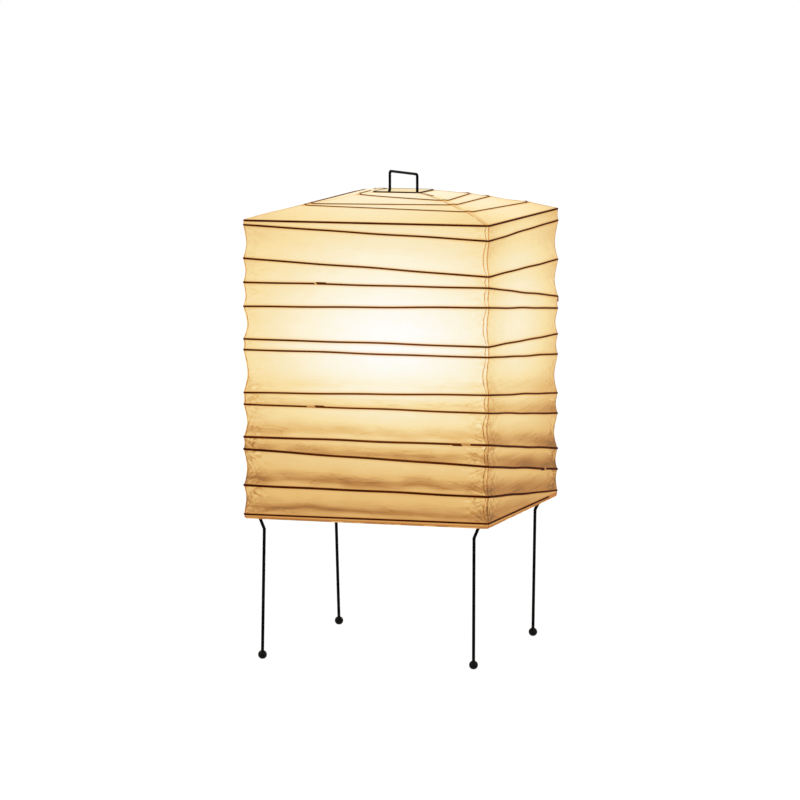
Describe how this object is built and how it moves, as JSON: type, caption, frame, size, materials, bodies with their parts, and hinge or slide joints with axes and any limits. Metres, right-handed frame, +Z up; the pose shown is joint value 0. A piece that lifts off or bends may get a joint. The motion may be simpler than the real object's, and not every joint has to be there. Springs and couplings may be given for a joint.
{
  "type": "paper table lamp",
  "caption": "Square paper lantern table lamp: a collapsible shade on one spiral bamboo rib hangs on a wire bow with a handle, over a four-legged bent wire base and a bulb.",
  "frame": {"origin": "on the floor under the middle of the shade", "axes": "+Z up; the front wall faces -Y; the bow and handle stand in the upright plane through the front right (+X -Y) and back left (-X +Y) corners"},
  "size_m": [0.2808, 0.2808, 0.5372],
  "materials": {
    "washi": "matte",
    "bamboo": "satin",
    "black_wire": "satin",
    "ball_rubber": "satin",
    "zinc_steel": "satin",
    "bush_plastic": "matte",
    "phenolic": "satin",
    "porcelain": "gloss",
    "brass": "satin",
    "frosted_glass": "satin",
    "clear_glass": "gloss",
    "nickel_cap": "satin",
    "cap_insulator": "gloss",
    "tungsten": "matte"
  },
  "bodies": {
    "stand": {"leg_front_left": "black_wire", "leg_front_right": "black_wire", "leg_back_right": "black_wire", "leg_back_left": "black_wire", "foot_front_left": "ball_rubber", "foot_front_right": "ball_rubber", "foot_back_right": "ball_rubber", "foot_back_left": "ball_rubber", "base_frame": "black_wire", "arm_front_left": "black_wire", "arm_front_right": "black_wire", "arm_back_right": "black_wire", "arm_back_left": "black_wire", "holder_plate": "black_wire", "bow": "black_wire", "bow_socket_right": "black_wire", "bow_socket_left": "black_wire", "stem_tube": "zinc_steel", "lower_nut": "zinc_steel", "washer": "zinc_steel", "upper_nut": "zinc_steel", "cord_bush": "bush_plastic", "holder_cap": "phenolic", "holder_shell": "phenolic", "holder_insulator": "porcelain", "holder_screw_shell": "brass", "holder_contact": "brass", "terminal_screws": "brass"},
    "bulb": {"bulb_glass": "frosted_glass", "bulb_cap": "nickel_cap", "bulb_insulator": "cap_insulator", "bulb_contact": "nickel_cap", "bulb_stem": "clear_glass", "bulb_filament": "tungsten"},
    "shade_top": {"top_ring": "black_wire", "roof_front": "washi", "roof_right": "washi", "roof_back": "washi", "roof_left": "washi", "roof_rib": "bamboo", "eave_hoop": "bamboo", "wall_front": "washi", "wall_right": "washi", "wall_back": "washi", "wall_left": "washi", "wall_rib": "bamboo"},
    "shade_bottom": {"hem_wire": "black_wire", "hem_front": "washi", "hem_right": "washi", "hem_back": "washi", "hem_left": "washi"}
  },
  "joints": [
    {"name": "shade_lift", "type": "slide", "parent": "stand", "child": "shade_top", "axis": [0, 0, 1], "range_m": [0, 0.38]},
    {"name": "shade_fold", "type": "slide", "parent": "shade_top", "child": "shade_bottom", "axis": [0, 0, 1], "range_m": [0, 0.3], "deforming": ["wall_front", "wall_right", "wall_back", "wall_left", "wall_rib"]},
    {"name": "bulb_turn", "type": "hinge", "parent": "stand", "child": "bulb", "pos_m": [0, 0, 0.284], "axis": [0, 0, 1], "range_deg": [0, 1800]}
  ]
}
